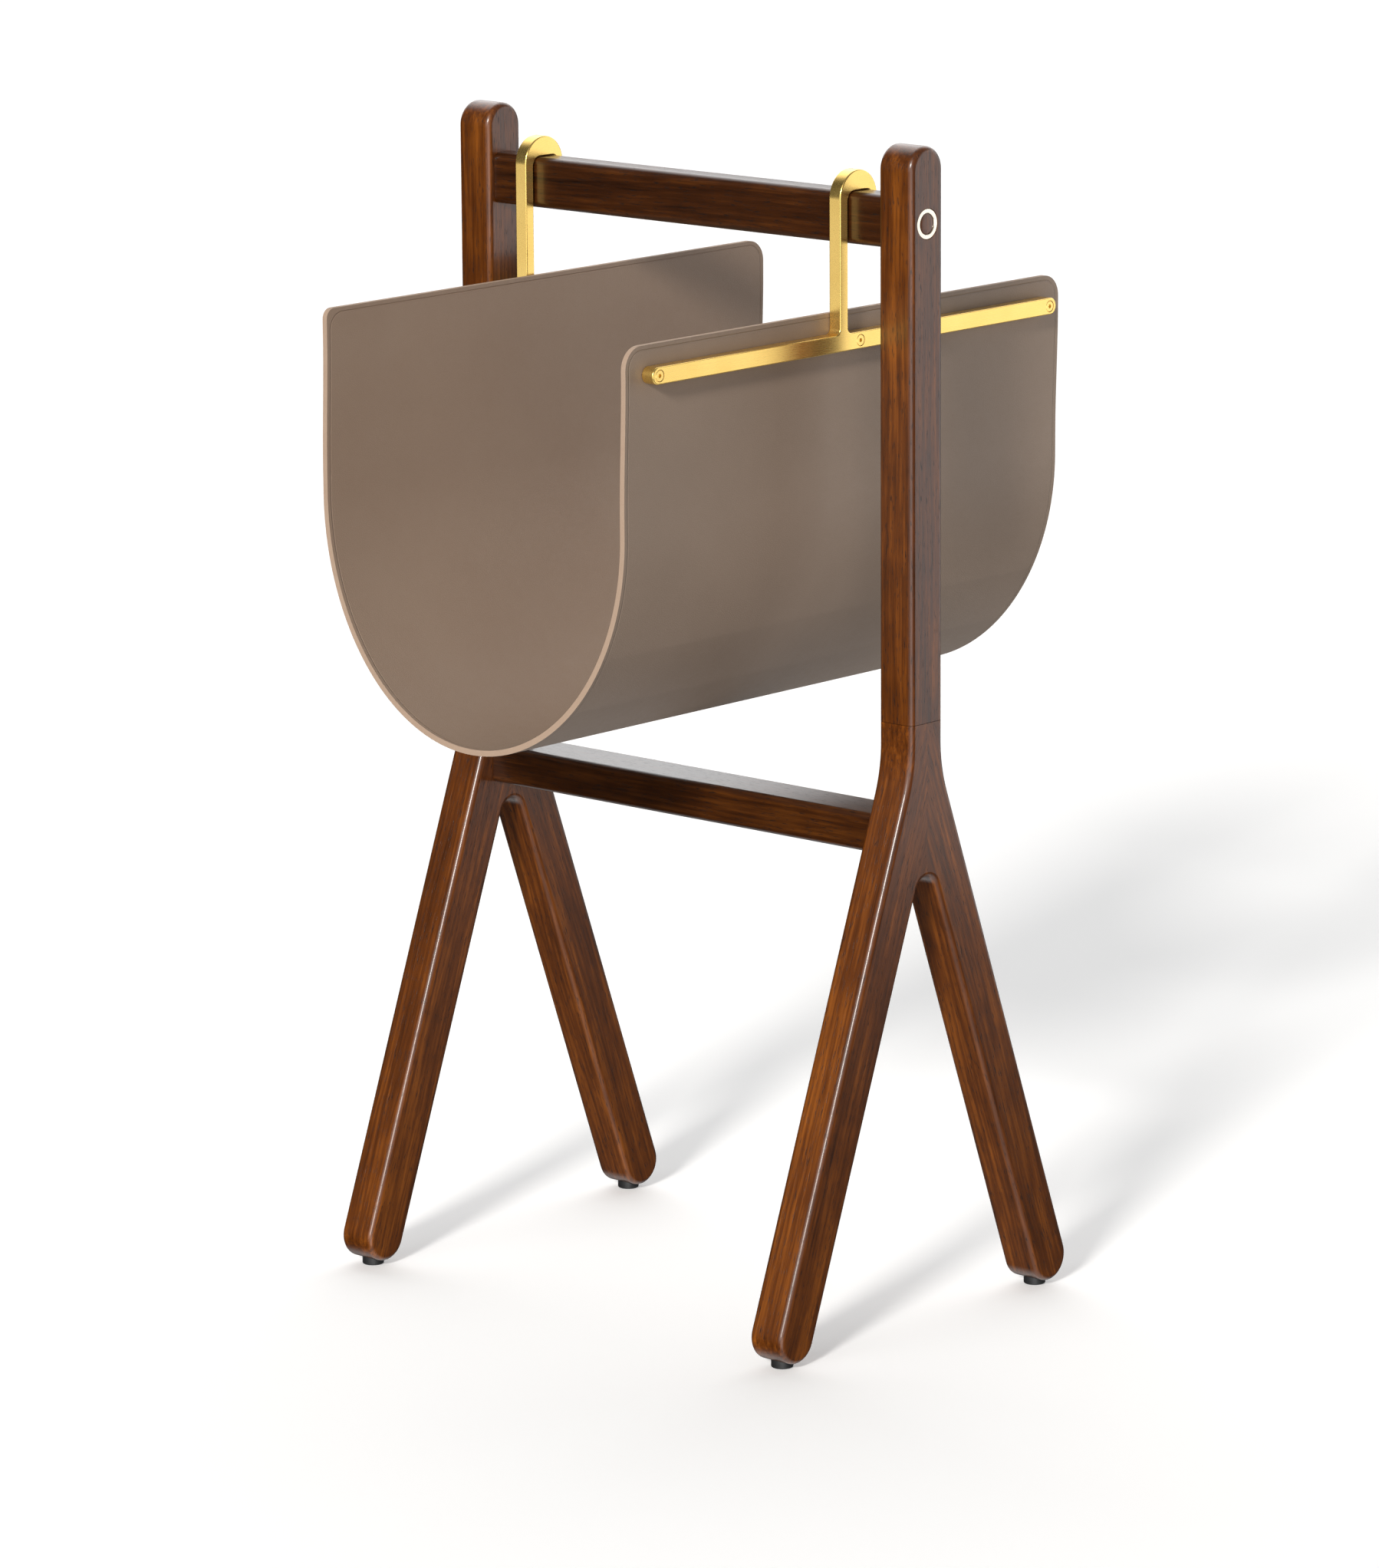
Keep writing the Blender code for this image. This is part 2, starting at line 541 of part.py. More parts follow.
def make_hanger(side, label):
    """One T-shaped brass hanger, its three screws, and the steel strip that they pull against."""
    name = label + "_hanger"
    hanger = add_object(name, plate_mesh(name, hanger_outline(), HANGER_THICKNESS), BRASS)
    hanger.location = (side * (HANGER_INNER_X + HANGER_THICKNESS / 2), 0.0, 0.0)
    outer = side * HANGER_OUTER_X
    axis = "+X" if side > 0 else "-X"
    leather_inner = SLING_HALF_WIDTH - LEATHER_THICKNESS
    strip_inner = leather_inner + STRIP_SKIN
    strip_outer = strip_inner + STRIP_THICKNESS
    strip_length = 2 * (SCREW_SPACING + STRIP_END_MARGIN)
    strip_x = side * (strip_inner + strip_outer) / 2
    name = label + "_backing_strip"
    strip = add_object(name, box_mesh(name, (STRIP_THICKNESS, strip_length, STRIP_DEPTH)), STEEL)
    strip.location = (strip_x, 0.0, BAR_HEIGHT)
    pocket = box_mesh(name + "_pocket", (STRIP_THICKNESS + 2 * GAP, strip_length + 2 * GAP, STRIP_DEPTH + 2 * GAP))
    cut(sling, cutter(name + "_pocket", pocket, (strip_x, 0.0, BAR_HEIGHT)))
    tip = strip_inner - GAP / 2
    for word, y in (("front", -SCREW_SPACING), ("middle", 0.0), ("rear", SCREW_SPACING)):
        tag = label + "_" + word
        start = (outer + side * HANGER_THICKNESS, y, BAR_HEIGHT)
        inside = (side * tip, y, BAR_HEIGHT)
        head = SCREW_HEAD_RADIUS + GAP
        bore = SCREW_RADIUS + GAP
        seat = SCREW_HEAD_HEIGHT + GAP
        steps = [(head, HANGER_THICKNESS), (head, -seat), (bore, -seat), (bore, -2 * HANGER_THICKNESS)]
        cut(hanger, stepped_hole(tag + "_screw_hole", steps, axis, (outer, y, BAR_HEIGHT)))
        cut(sling, hole(tag + "_leather_hole", SCREW_RADIUS + GAP, start, inside, "X", 16))
        cut(strip, hole(tag + "_strip_hole", SCREW_RADIUS + GAP, start, (side * SLING_HALF_WIDTH / 2, y, BAR_HEIGHT),
                        "X", 16))
        length = HANGER_OUTER_X - strip_inner
        turned(tag + "_hanger_screw",
               [(0.0, 0.0), (SCREW_HEAD_RADIUS, 0.0), (SCREW_HEAD_RADIUS, -SCREW_HEAD_HEIGHT),
                (SCREW_RADIUS, -SCREW_HEAD_HEIGHT), (SCREW_RADIUS, -length), (0.0, -length)],
               axis, 24, BRASS, (outer, y, BAR_HEIGHT))
    smooth(hanger)


# ---- Build --------------------------------------------------------------------------------------
top_rail = make_rail("top_rail", RAIL_WIDTH, RAIL_DEPTH, RAIL_EDGE_RADIUS, RAIL_CENTRE_HEIGHT)
stretcher = make_rail("lower_rail", STRETCHER_WIDTH, STRETCHER_DEPTH, STRETCHER_EDGE_RADIUS, STRETCHER_HEIGHT)
make_side_frame(1, "right")
make_side_frame(-1, "left")
sling = make_sling()
make_hanger(1, "right")
make_hanger(-1, "left")
bpy.context.view_layer.update()
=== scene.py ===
# %% [markdown]
# # A magazine rack of walnut, leather and brass
#
# The rack has two side frames shaped like an upside-down Y, a rail near the top, a flat rail at the fork,
# and a sling of thick leather that hangs from the top rail on two brass hangers.
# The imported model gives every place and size. This script makes the surfaces that are seen.

# %% Load the frame
from math import cos, pi, radians, sin, sqrt, tan

import bmesh
import bpy
from mathutils import Matrix, Vector


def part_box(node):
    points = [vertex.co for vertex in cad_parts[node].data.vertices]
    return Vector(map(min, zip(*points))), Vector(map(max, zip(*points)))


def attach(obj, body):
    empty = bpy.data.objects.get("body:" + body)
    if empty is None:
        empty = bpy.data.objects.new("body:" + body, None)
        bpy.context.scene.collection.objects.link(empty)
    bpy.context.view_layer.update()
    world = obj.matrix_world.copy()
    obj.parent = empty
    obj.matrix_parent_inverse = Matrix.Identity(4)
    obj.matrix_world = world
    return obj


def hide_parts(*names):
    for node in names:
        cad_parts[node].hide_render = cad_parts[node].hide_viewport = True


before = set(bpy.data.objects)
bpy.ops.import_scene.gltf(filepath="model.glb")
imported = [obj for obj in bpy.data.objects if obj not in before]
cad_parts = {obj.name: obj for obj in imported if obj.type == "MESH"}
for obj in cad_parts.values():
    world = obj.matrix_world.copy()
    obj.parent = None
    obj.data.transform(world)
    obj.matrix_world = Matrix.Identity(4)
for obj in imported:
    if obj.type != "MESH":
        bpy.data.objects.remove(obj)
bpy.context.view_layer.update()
MM = 0.001
SIDES = {"right": 1, "left": -1}
print("pieces in the frame:", len(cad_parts))

# %% [markdown]
# ## Camera
#
# A long lens from a little above and to the right of the front, as in a catalogue picture. A long lens
# keeps the legs nearly parallel. The camera looks at a point a little under the sling, and is turned
# a fraction of a degree about its own axis.

# %% Camera
LOOK_AT = Vector((0.0027, -0.0124, 0.3490))
CAMERA_PLACE = Vector((3.2119, -3.5561, 1.3845))
LENS_MM = 164.8
ROLL = radians(-0.39)

lens = bpy.data.cameras.new("camera")
lens.lens = LENS_MM
lens.sensor_width = 36.0
camera = bpy.data.objects.new("camera", lens)
bpy.context.scene.collection.objects.link(camera)
camera.location = CAMERA_PLACE
aim = (LOOK_AT - CAMERA_PLACE).to_track_quat("-Z", "Y").to_matrix().to_4x4()
camera.matrix_world = Matrix.Translation(CAMERA_PLACE) @ aim @ Matrix.Rotation(ROLL, 4, "Z")
bpy.context.scene.camera = camera
print("camera stands", round((LOOK_AT - CAMERA_PLACE).length, 2), "m away")

# %% [markdown]
# ## Shader arithmetic
#
# A node tree is easier to read as a formula. `Wire` wraps one socket, and its operators add Math nodes,
# so `1 - mask * 0.5` builds the two nodes that it says. `Recipe` adds every other kind of node: it takes
# the node's type, its settings, and what goes into its sockets.

# %% Socket wrapper
class Wire:
    """One output socket, with arithmetic."""

    def __init__(self, recipe, socket):
        self.recipe = recipe
        self.socket = socket

    def _math(self, operation, first, second=0.0):
        node = self.recipe.add("ShaderNodeMath", {"operation": operation}, {0: first, 1: second})
        return node.wire(0)

    def __add__(self, other):
        return self._math("ADD", self, other)

    def __radd__(self, other):
        return self._math("ADD", other, self)

    def __sub__(self, other):
        return self._math("SUBTRACT", self, other)

    def __rsub__(self, other):
        return self._math("SUBTRACT", other, self)

    def __mul__(self, other):
        return self._math("MULTIPLY", self, other)

    def __rmul__(self, other):
        return self._math("MULTIPLY", other, self)

    def __pow__(self, other):
        return self._math("POWER", self, other)

    def __abs__(self):
        return self._math("ABSOLUTE", self)

    def at_least(self, other):
        return self._math("MAXIMUM", self, other)

    def at_most(self, other):
        return self._math("MINIMUM", self, other)

    def between(self, low, high):
        """0 at low, 1 at high, and smooth between them."""
        node = self.recipe.add("ShaderNodeMapRange", {"interpolation_type": "SMOOTHSTEP"},
                               {"Value": self, "From Min": low, "From Max": high})
        return node.wire("Result")


class Step:
    """One node, whose outputs are read as wires."""

    def __init__(self, recipe, node):
        self.recipe = recipe
        self.node = node

    def wire(self, output=0):
        return Wire(self.recipe, self.node.outputs[output])


class Recipe:
    """The node tree of one material or of the world."""

    def __init__(self, owner):
        owner.use_nodes = True
        self.tree = owner.node_tree
        self.tree.nodes.clear()

    def add(self, kind, settings=None, sockets=None):
        """Add a node, set it up, then fill or link its sockets."""
        node = self.tree.nodes.new(kind)
        for name, value in (settings or {}).items():
            if name == "stops":
                ramp = node.color_ramp
                while len(ramp.elements) < len(value):
                    ramp.elements.new(0.5)
                for element, (place, colour) in zip(ramp.elements, value):
                    element.position = place
                    element.color = (*colour, 1.0)
            else:
                setattr(node, name, value)
        for name, value in (sockets or {}).items():
            socket = node.inputs[name]
            if isinstance(value, Wire):
                self.tree.links.new(value.socket, socket)
            else:
                socket.default_value = value
        return Step(self, node)

    def noise(self, vector, scale, detail=2.0, roughness=0.5, distortion=0.0):
        """Soft noise from 0 to 1."""
        return self.add("ShaderNodeTexNoise", {}, {"Vector": vector, "Scale": scale, "Detail": detail,
                                                   "Roughness": roughness, "Distortion": distortion}).wire(0)

    def place(self, vector, turn=(0, 0, 0), stretch=(1, 1, 1), shift=(0, 0, 0)):
        """Turn, shift and stretch coordinates."""
        turned = self.add("ShaderNodeMapping", {"vector_type": "POINT"},
                          {"Vector": vector, "Rotation": turn, "Location": shift}).wire(0)
        return self.add("ShaderNodeVectorMath", {"operation": "MULTIPLY"}, {0: turned, 1: stretch}).wire(0)

    def object_place(self):
        return self.add("ShaderNodeTexCoord").wire("Object")

    def mix(self, amount, first, second, blend="MIX"):
        """Mix two colours."""
        node = self.tree.nodes.new("ShaderNodeMix")
        node.data_type = "RGBA"
        node.blend_type = blend
        colours = [socket for socket in node.inputs if socket.type == "RGBA"]
        for socket, value in ((node.inputs[0], amount), (colours[0], first), (colours[1], second)):
            if isinstance(value, Wire):
                self.tree.links.new(value.socket, socket)
            else:
                socket.default_value = value if socket.type == "VALUE" else (*value, 1.0)
        return Wire(self, next(socket for socket in node.outputs if socket.type == "RGBA"))

    def bump(self, height, distance, strength=1.0):
        return self.add("ShaderNodeBump", {}, {"Height": height, "Distance": distance,
                                               "Strength": strength}).wire(0)

    def surface(self, sockets):
        """End the tree in a Principled shader."""
        shader = self.add("ShaderNodeBsdfPrincipled", {}, sockets).wire("BSDF")
        self.add("ShaderNodeOutputMaterial", {}, {"Surface": shader})


def material(name):
    made = bpy.data.materials.new(name)
    return made, Recipe(made)


print("shader helpers ready")

# %% [markdown]
# ## Walnut
#
# Stained walnut under a satin lacquer. Wood is a solid, so its pattern comes from object coordinates that
# are stretched along the grain: it then runs over the rounded edges as real grain does. Each member has
# its grain along its own length, so each gets its own turn, and a shift so that no two boards look alike.
# Its layers are a broad figure, fine streaks, a faint ripple across the board, and the short dark pores
# that also dent the lacquer.

# %% Walnut
WALNUT_DARK = (0.022, 0.0055, 0.0008)
WALNUT_MID = (0.088, 0.0225, 0.0022)
WALNUT_LIGHT = (0.215, 0.0620, 0.0060)
WALNUT_PORE = (0.010, 0.0030, 0.0008)


def walnut(name, turn, shift, shade=1.0):
    """Walnut whose grain runs along Z once the coordinates are turned. Shade scales a whole board's colour:
    painted light on the legs, painted shade on the lower rail.
    """
    made, wood = material(name)
    spot = wood.object_place()
    board = wood.place(spot, turn=turn, shift=shift)
    sway = wood.noise(wood.place(board, stretch=(3.0, 3.0, 2.2)), 1.0, 2.0)
    swayed = wood.add("ShaderNodeVectorMath", {"operation": "ADD"}, {
        0: board,
        1: wood.add("ShaderNodeVectorMath", {"operation": "SCALE"}, {
            0: wood.add("ShaderNodeCombineXYZ", {}, {"X": sway - 0.5, "Y": 0.5 - sway}).wire(0),
            "Scale": 0.018}).wire(0)}).wire(0)
    figure = wood.noise(wood.place(swayed, stretch=(55, 55, 3.2)), 1.0, 3.0, 0.55, 0.6)
    streaks = wood.noise(wood.place(swayed, stretch=(420, 420, 16.0)), 1.0, 3.0, 0.6)
    ripple = wood.noise(wood.place(swayed, stretch=(60, 60, 55)), 1.0, 2.0, 0.5)
    pores = wood.noise(wood.place(swayed, stretch=(1300, 1300, 140)), 1.0, 1.0)
    pore_mask = pores.between(0.60, 0.72)
    tone = figure * 0.38 + streaks * 0.50 + ripple * 0.12
    colour = wood.add("ShaderNodeValToRGB", {"stops": [(0.30, WALNUT_DARK), (0.50, WALNUT_MID),
                                                      (0.70, WALNUT_LIGHT)]}, {0: tone}).wire(0)
    colour = wood.mix(pore_mask * 0.75, colour, WALNUT_PORE)
    # Scale the whole board's colour: painted light on the legs, painted shade on the lower rail.
    colour = wood.mix(1.0, colour, (shade, shade, shade), "MULTIPLY")
    wood.surface({
        "Base Color": colour,
        "Roughness": 0.30 + streaks * 0.08 + pore_mask * 0.12,
        "Specular IOR Level": 0.42,
        "Coat Weight": 0.36,
        "Coat Roughness": 0.17,
        "Normal": wood.bump(streaks * 0.35 - pore_mask * 0.65, 0.00007)})
    return made


SPLAY = radians(20.1)
# The last number scales each board's colour. The legs' 1.30 is painted light, for their upturned fronts that
# catch more light; the lower rail's 0.50 is painted shade, for the shade under the sling. The top rail is
# darkened as much.
WALNUT = {
    "upright": walnut("walnut_upright", (0, 0, 0), (0.31, 0.12, 0.0), 1.10),
    "front_leg": walnut("walnut_front_leg", (SPLAY, 0, 0), (0.93, 0.57, 0.2), 1.30),
    "rear_leg": walnut("walnut_rear_leg", (-SPLAY, 0, 0), (1.71, 0.22, 0.6), 1.20),
    "top_rail": walnut("walnut_top_rail", (0, -pi / 2, 0), (0.4, 2.31, 0.1), 0.50),
    "lower_rail": walnut("walnut_lower_rail", (0, -pi / 2, 0), (0.7, 3.13, 0.5), 0.50),
}
print("walnut finishes:", ", ".join(WALNUT))

# %% [markdown]
# ## Brass
#
# The hangers are cut from plate, brushed along their length, polished and lacquered. A metal takes its
# colour from its reflections, so the base colour stays nearly even. Fine scratches that run one way only,
# made from stretched noise, spread the reflections as brushing does.

# %% Brass
BRASS_COLOUR = (0.93, 0.66, 0.21)
BRASS_DEEP = (0.78, 0.49, 0.11)
# The ring's two colours are a pale cream, far paler than the brass of the hangers: a painted reflection, as
# though the ring mirrored a white surround.
RING_PAINTED_SHINE = (0.96, 0.88, 0.74)
RING_PAINTED_SHINE_DEEP = (0.90, 0.78, 0.60)


def brass(name, stretch, colour=BRASS_COLOUR, deep=BRASS_DEEP):
    """Brushed brass. The stretch is small along the direction of the brushing."""
    made, metal = material(name)
    spot = metal.object_place()
    scratches = metal.noise(metal.place(spot, stretch=stretch), 1.0, 2.0, 0.7)
    clouds = metal.noise(metal.place(spot, stretch=(28, 28, 28)), 1.0, 3.0)
    metal.surface({
        "Base Color": metal.mix(clouds * 0.6, colour, deep),
        "Metallic": 0.93,
        "Roughness": 0.21 + scratches * 0.08 + clouds * 0.04,
        "Normal": metal.bump(scratches, 0.000006)})
    return made


BRASS = {
    "hanger": brass("brass_brushed_along", (2200, 18, 2200)),
    "turned": brass("brass_turned", (900, 900, 900)),
    "ring": brass("brass_ring", (900, 900, 900), RING_PAINTED_SHINE, RING_PAINTED_SHINE_DEEP),
}
print("brass finishes:", ", ".join(BRASS))

# %% [markdown]
# ## Nylon, steel and beech
#
# Black nylon glides carry the legs. The steel screws, bolts and strips and the beech dowels are inside
# the wood and leather, but they are real pieces, so they get a real finish too.

# %% Small finishes
def speckled(name, colour, deep, stretch, roughness, metallic, depth):
    """An even finish with fine variation, for the small and hidden pieces."""
    made, base = material(name)
    spot = base.object_place()
    grain = base.noise(base.place(spot, stretch=stretch), 1.0, 3.0, 0.6)
    base.surface({
        "Base Color": base.mix(grain, colour, deep),
        "Metallic": metallic,
        "Roughness": roughness + grain * 0.15,
        "Normal": base.bump(grain, depth)})
    return made


NYLON = speckled("nylon", (0.012, 0.012, 0.013), (0.022, 0.022, 0.023), (900, 900, 900), 0.38, 0.0,
                 0.00004)
STEEL = speckled("steel", (0.56, 0.56, 0.57), (0.42, 0.42, 0.44), (700, 700, 90), 0.28, 1.0, 0.00002)
BEECH = speckled("beech", (0.60, 0.40, 0.23), (0.45, 0.28, 0.15), (400, 400, 30), 0.55, 0.0, 0.00006)
print("small finishes ready")

# %% [markdown]
# ## Making pieces
#
# Every new piece is a bmesh that is turned into an object at the origin, so its place is in its mesh.
# `arc` gives the points of a round stretch of an outline, and `plate` fills an outline that lies across
# the rack and gives it a thickness along X. `finish_piece` shades it, gives it its finishes, ties it to what
# it rides on, and hides the node of the model that it stands for.

# %% Helpers for pieces
SMOOTH_ANGLE = radians(32)


def arc(centre, radius, start, end, steps):
    """Points on an arc, from one angle to another."""
    return [(centre[0] + radius * cos(start + (end - start) * i / steps),
             centre[1] + radius * sin(start + (end - start) * i / steps)) for i in range(steps + 1)]


def plate(outline, low_x, high_x):
    """A flat outline in Y and Z, extruded along X."""
    shape = bmesh.new()
    rim = [shape.verts.new((low_x, across, up)) for across, up in outline]
    edges = [shape.edges.new(pair) for pair in zip(rim, rim[1:] + rim[:1])]
    bmesh.ops.edgeloop_fill(shape, edges=edges)
    grown = bmesh.ops.extrude_face_region(shape, geom=shape.faces[:], use_keep_orig=True)
    moved = [item for item in grown["geom"] if isinstance(item, bmesh.types.BMVert)]
    bmesh.ops.translate(shape, verts=moved, vec=(high_x - low_x, 0, 0))
    bmesh.ops.remove_doubles(shape, verts=shape.verts, dist=1e-6)
    bmesh.ops.recalc_face_normals(shape, faces=shape.faces)
    return shape


def soften(shape, edges, radius, segments):
    """Round some edges."""
    bmesh.ops.bevel(shape, geom=edges, offset=radius, offset_type="OFFSET", segments=segments, profile=0.5,
                    affect="EDGES", clamp_overlap=True, material=-1)


def keep(shape, point, normal):
    """Cut a shape with a plane and keep the side that the normal points away from."""
    cut = bmesh.ops.bisect_plane(shape, geom=shape.verts[:] + shape.edges[:] + shape.faces[:],
                                 plane_co=point, plane_no=normal, clear_outer=True)
    edges = [item for item in cut["geom_cut"] if isinstance(item, bmesh.types.BMEdge)]
    bmesh.ops.edgenet_fill(shape, edges=edges)
    bmesh.ops.recalc_face_normals(shape, faces=shape.faces)


def to_mesh(name, shape):
    mesh = bpy.data.meshes.new(name)
    shape.to_mesh(mesh)
    shape.free()
    return mesh


def carve(mesh, cutter):
    """Take one mesh away from another, and return what is left."""
    work = [bpy.data.objects.new(part.name, part) for part in (mesh, cutter)]
    for item in work:
        bpy.context.scene.collection.objects.link(item)
    boolean = work[0].modifiers.new("carve", "BOOLEAN")
    boolean.operation = "DIFFERENCE"
    boolean.solver = "EXACT"
    boolean.object = work[1]
    bpy.context.view_layer.update()
    left = bpy.data.meshes.new_from_object(work[0].evaluated_get(bpy.context.evaluated_depsgraph_get()))
    for item in work:
        bpy.data.objects.remove(item)
    return left


def finish_piece(name, mesh, finishes, body, node=None):
    """Make the object, shade it, and tie it to the frame."""
    piece = bpy.data.objects.new(name, mesh)
    bpy.context.scene.collection.objects.link(piece)
    mesh.materials.clear()
    for finish in finishes:
        mesh.materials.append(finish)
    mesh.shade_smooth()
    mesh.set_sharp_from_angle(angle=SMOOTH_ANGLE)
    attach(piece, body)
    if node:
        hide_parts(node)
    return piece


def even_normals(piece):
    """Let the large flat faces rule the shading, so that rounded edges don't bend it."""
    weighted = piece.modifiers.new("even normals", "WEIGHTED_NORMAL")
    weighted.keep_sharp = True
    weighted.weight = 60


def turned(profile, place, direction, steps):
    """A profile of (radius, height) spun round an axis that starts at place and points along direction."""
    shape = bmesh.new()
    row = [shape.verts.new((radius, 0, height)) for radius, height in profile]
    for pair in zip(row, row[1:]):
        shape.edges.new(pair)
    bmesh.ops.spin(shape, geom=shape.verts[:] + shape.edges[:], cent=(0, 0, 0), axis=(0, 0, 1),
                   angle=2 * pi, steps=steps, use_merge=True)
    bmesh.ops.remove_doubles(shape, verts=shape.verts, dist=1e-6)
    bmesh.ops.recalc_face_normals(shape, faces=shape.faces)
    turn = Vector((0, 0, 1)).rotation_difference(Vector(direction)).to_matrix().to_4x4()
    bmesh.ops.transform(shape, matrix=Matrix.Translation(Vector(place)) @ turn, verts=shape.verts)
    return shape


print("modelling helpers ready")

# %% [markdown]
# ## Side frames
#
# On the real rack the upright stands on two legs that are glued edge to edge, and the whole frame is
# shaped as one after gluing. The same order works here: draw one outline, give it its thickness, round
# its edges, and only then cut it into the three pieces, so that the rounded edge flows across the joints.
# The outline is straight runs and arcs: the round top, a long hollow blend on each side, round feet, and
# the small arch between the legs.

# %% Side frame outline
LEG_WIDTH = 33.5 * MM
FORK_HEIGHT = 385 * MM
BLEND_RADIUS = 100 * MM
CROTCH_RADIUS = 10.5 * MM
FRAME_ROUND = 4 * MM

post_low, post_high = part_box("right_upright")
half_post = (post_high.y - post_low.y) / 2
joint_height = post_low.z
foot_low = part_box("right_rear_leg")[0]


def frame_outline():
    """Half of it is drawn from the rear foot to the top, and the other half is its mirror."""
    foot_height = foot_low.z + LEG_WIDTH / 2
    foot_y = half_post + (FORK_HEIGHT - foot_height) * tan(SPLAY) - LEG_WIDTH / 2 / cos(SPLAY)
    half = arc((foot_y, foot_height), LEG_WIDTH / 2, SPLAY - pi, SPLAY, 28)
    rise = BLEND_RADIUS * tan(SPLAY / 2)
    half += arc((half_post + BLEND_RADIUS, FORK_HEIGHT + rise), BLEND_RADIUS, pi + SPLAY, pi, 14)
    half += arc((0.0, post_high.z - half_post), half_post, 0.0, pi / 2, 18)
    apex = FORK_HEIGHT - (LEG_WIDTH / cos(SPLAY) - half_post) / tan(SPLAY)
    arch = arc((0.0, apex - CROTCH_RADIUS / sin(SPLAY)), CROTCH_RADIUS, pi - SPLAY, SPLAY, 20)
    return half + [(-across, up) for across, up in reversed(half[:-1])] + arch


def frame_shape(low_x, high_x):
    """The whole side frame with its edges rounded."""
    shape = plate(frame_outline(), low_x, high_x)
    rims = [edge for edge in shape.edges if abs(edge.verts[0].co.x - edge.verts[1].co.x) < 1e-6]
    soften(shape, rims, FRAME_ROUND, 6)
    return shape


print("outline points:", len(frame_outline()))

# %% Uprights and legs
RING_SEAT_CLEARANCE = 0.15 * MM
GLUE_LINE = 0.02 * MM


def ring_seat(side):
    """The round recess for the ring and the plug, as a cutter."""
    ring_low, ring_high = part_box(side + "_bolt_ring")
    radius = (ring_high.z - ring_low.z) / 2 + RING_SEAT_CLEARANCE
    centre = (ring_low + ring_high) / 2
    shape = bmesh.new()
    bmesh.ops.create_cone(shape, cap_ends=True, segments=64, radius1=radius, radius2=radius,
                          depth=(ring_high.x - ring_low.x) * 2)
    turn = Matrix.Rotation(pi / 2, 4, "Y")
    outer = ring_high.x if SIDES[side] > 0 else ring_low.x
    middle = Matrix.Translation((outer, centre.y, centre.z))
    bmesh.ops.transform(shape, matrix=middle @ turn, verts=shape.verts)
    return to_mesh(side + "_ring_seat", shape)


for side in SIDES:
    low_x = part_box(side + "_upright")[0].x
    high_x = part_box(side + "_upright")[1].x
    shape = frame_shape(low_x, high_x)
    keep(shape, (0, 0, joint_height), (0, 0, -1))
    mesh = carve(to_mesh(side + "_upright_wood", shape), ring_seat(side))
    node = side + "_upright"
    piece = finish_piece(node + "_wood", mesh, [WALNUT["upright"]], "frame", node)
    even_normals(piece)
    for word, toward in (("front", -1), ("rear", 1)):
        node = side + "_" + word + "_leg"
        shape = frame_shape(low_x, high_x)
        keep(shape, (0, 0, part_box(node)[1].z), (0, 0, 1))
        keep(shape, (0, toward * GLUE_LINE / 2, 0), (0, -toward, 0))
        mesh = to_mesh(node + "_wood", shape)
        piece = finish_piece(node + "_wood", mesh, [WALNUT[word + "_leg"]], "frame", node)
        even_normals(piece)
print("side frames made")

# %% [markdown]
# ## Rails
#
# Both rails are straight boards with rounded long edges. Their ends butt the frames, so they stay square.

# %% Rails
RAIL_ROUND = {"top_rail": 5 * MM, "lower_rail": 4 * MM}


def make_rail(node):
    """A board with its four long edges rounded."""
    low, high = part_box(node)
    shape = bmesh.new()
    bmesh.ops.create_cube(shape, size=1.0)
    bmesh.ops.scale(shape, vec=high - low, verts=shape.verts)
    bmesh.ops.translate(shape, vec=(low + high) / 2, verts=shape.verts)
    long_edges = [edge for edge in shape.edges if abs(edge.verts[0].co.x - edge.verts[1].co.x) > 1e-6]
    soften(shape, long_edges, RAIL_ROUND[node], 7)
    mesh = to_mesh(node + "_wood", shape)
    piece = finish_piece(node + "_wood", mesh, [WALNUT[node]], "frame", node)
    even_normals(piece)
    print(node, "is", round((high.x - low.x) * 1000), "mm long")


for node in RAIL_ROUND:
    make_rail(node)

# %% [markdown]
# ## Ring and plug over each bolt
#
# A brass ring is let into the outer face of each upright, with a dark plug inside it that hides the bolt.
# Both are turned pieces. The ring's edges are just broken, and the plug is slightly domed.

# %% Ring and plug
def make_ring(side):
    low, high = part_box(side + "_bolt_ring")
    plug_low, plug_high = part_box(side + "_bolt_plug")
    sign = SIDES[side]
    outer = high.x if sign > 0 else low.x
    place = (outer, (low.y + high.y) / 2, (low.z + high.z) / 2)
    radius = (high.z - low.z) / 2
    plug_radius = (plug_high.z - plug_low.z) / 2
    inner = plug_radius + 0.3 * MM
    depth = high.x - low.x
    soft = 0.35 * MM
    profile = [(inner, -soft), (inner + soft, 0.0), (radius - soft, 0.0), (radius, -soft),
               (radius, -depth), (inner, -depth), (inner, -soft)]
    mesh = to_mesh(side + "_ring_brass", turned(profile, place, (sign, 0, 0), 96))
    finish_piece(side + "_ring_brass", mesh, [BRASS["ring"]], "frame", side + "_bolt_ring")
    dome = 0.25 * MM
    face = -0.5 * MM
    plug_depth = plug_high.x - plug_low.x
    profile = [(0.0, face + dome), (plug_radius * 0.5, face + dome * 0.8),
               (plug_radius * 0.85, face + dome * 0.3), (plug_radius, face - 0.2 * MM),
               (plug_radius, -plug_depth), (0.0, -plug_depth)]
    mesh = to_mesh(side + "_plug_wood", turned(profile, place, (sign, 0, 0), 64))
    finish_piece(side + "_plug_wood", mesh, [WALNUT["upright"]], "frame", side + "_bolt_plug")


for side in SIDES:
    make_ring(side)
print("rings and plugs made")

# %% [markdown]
# ## Glides
#
# A moulded nylon disc under each foot, with a soft lower edge and a well for its screw.

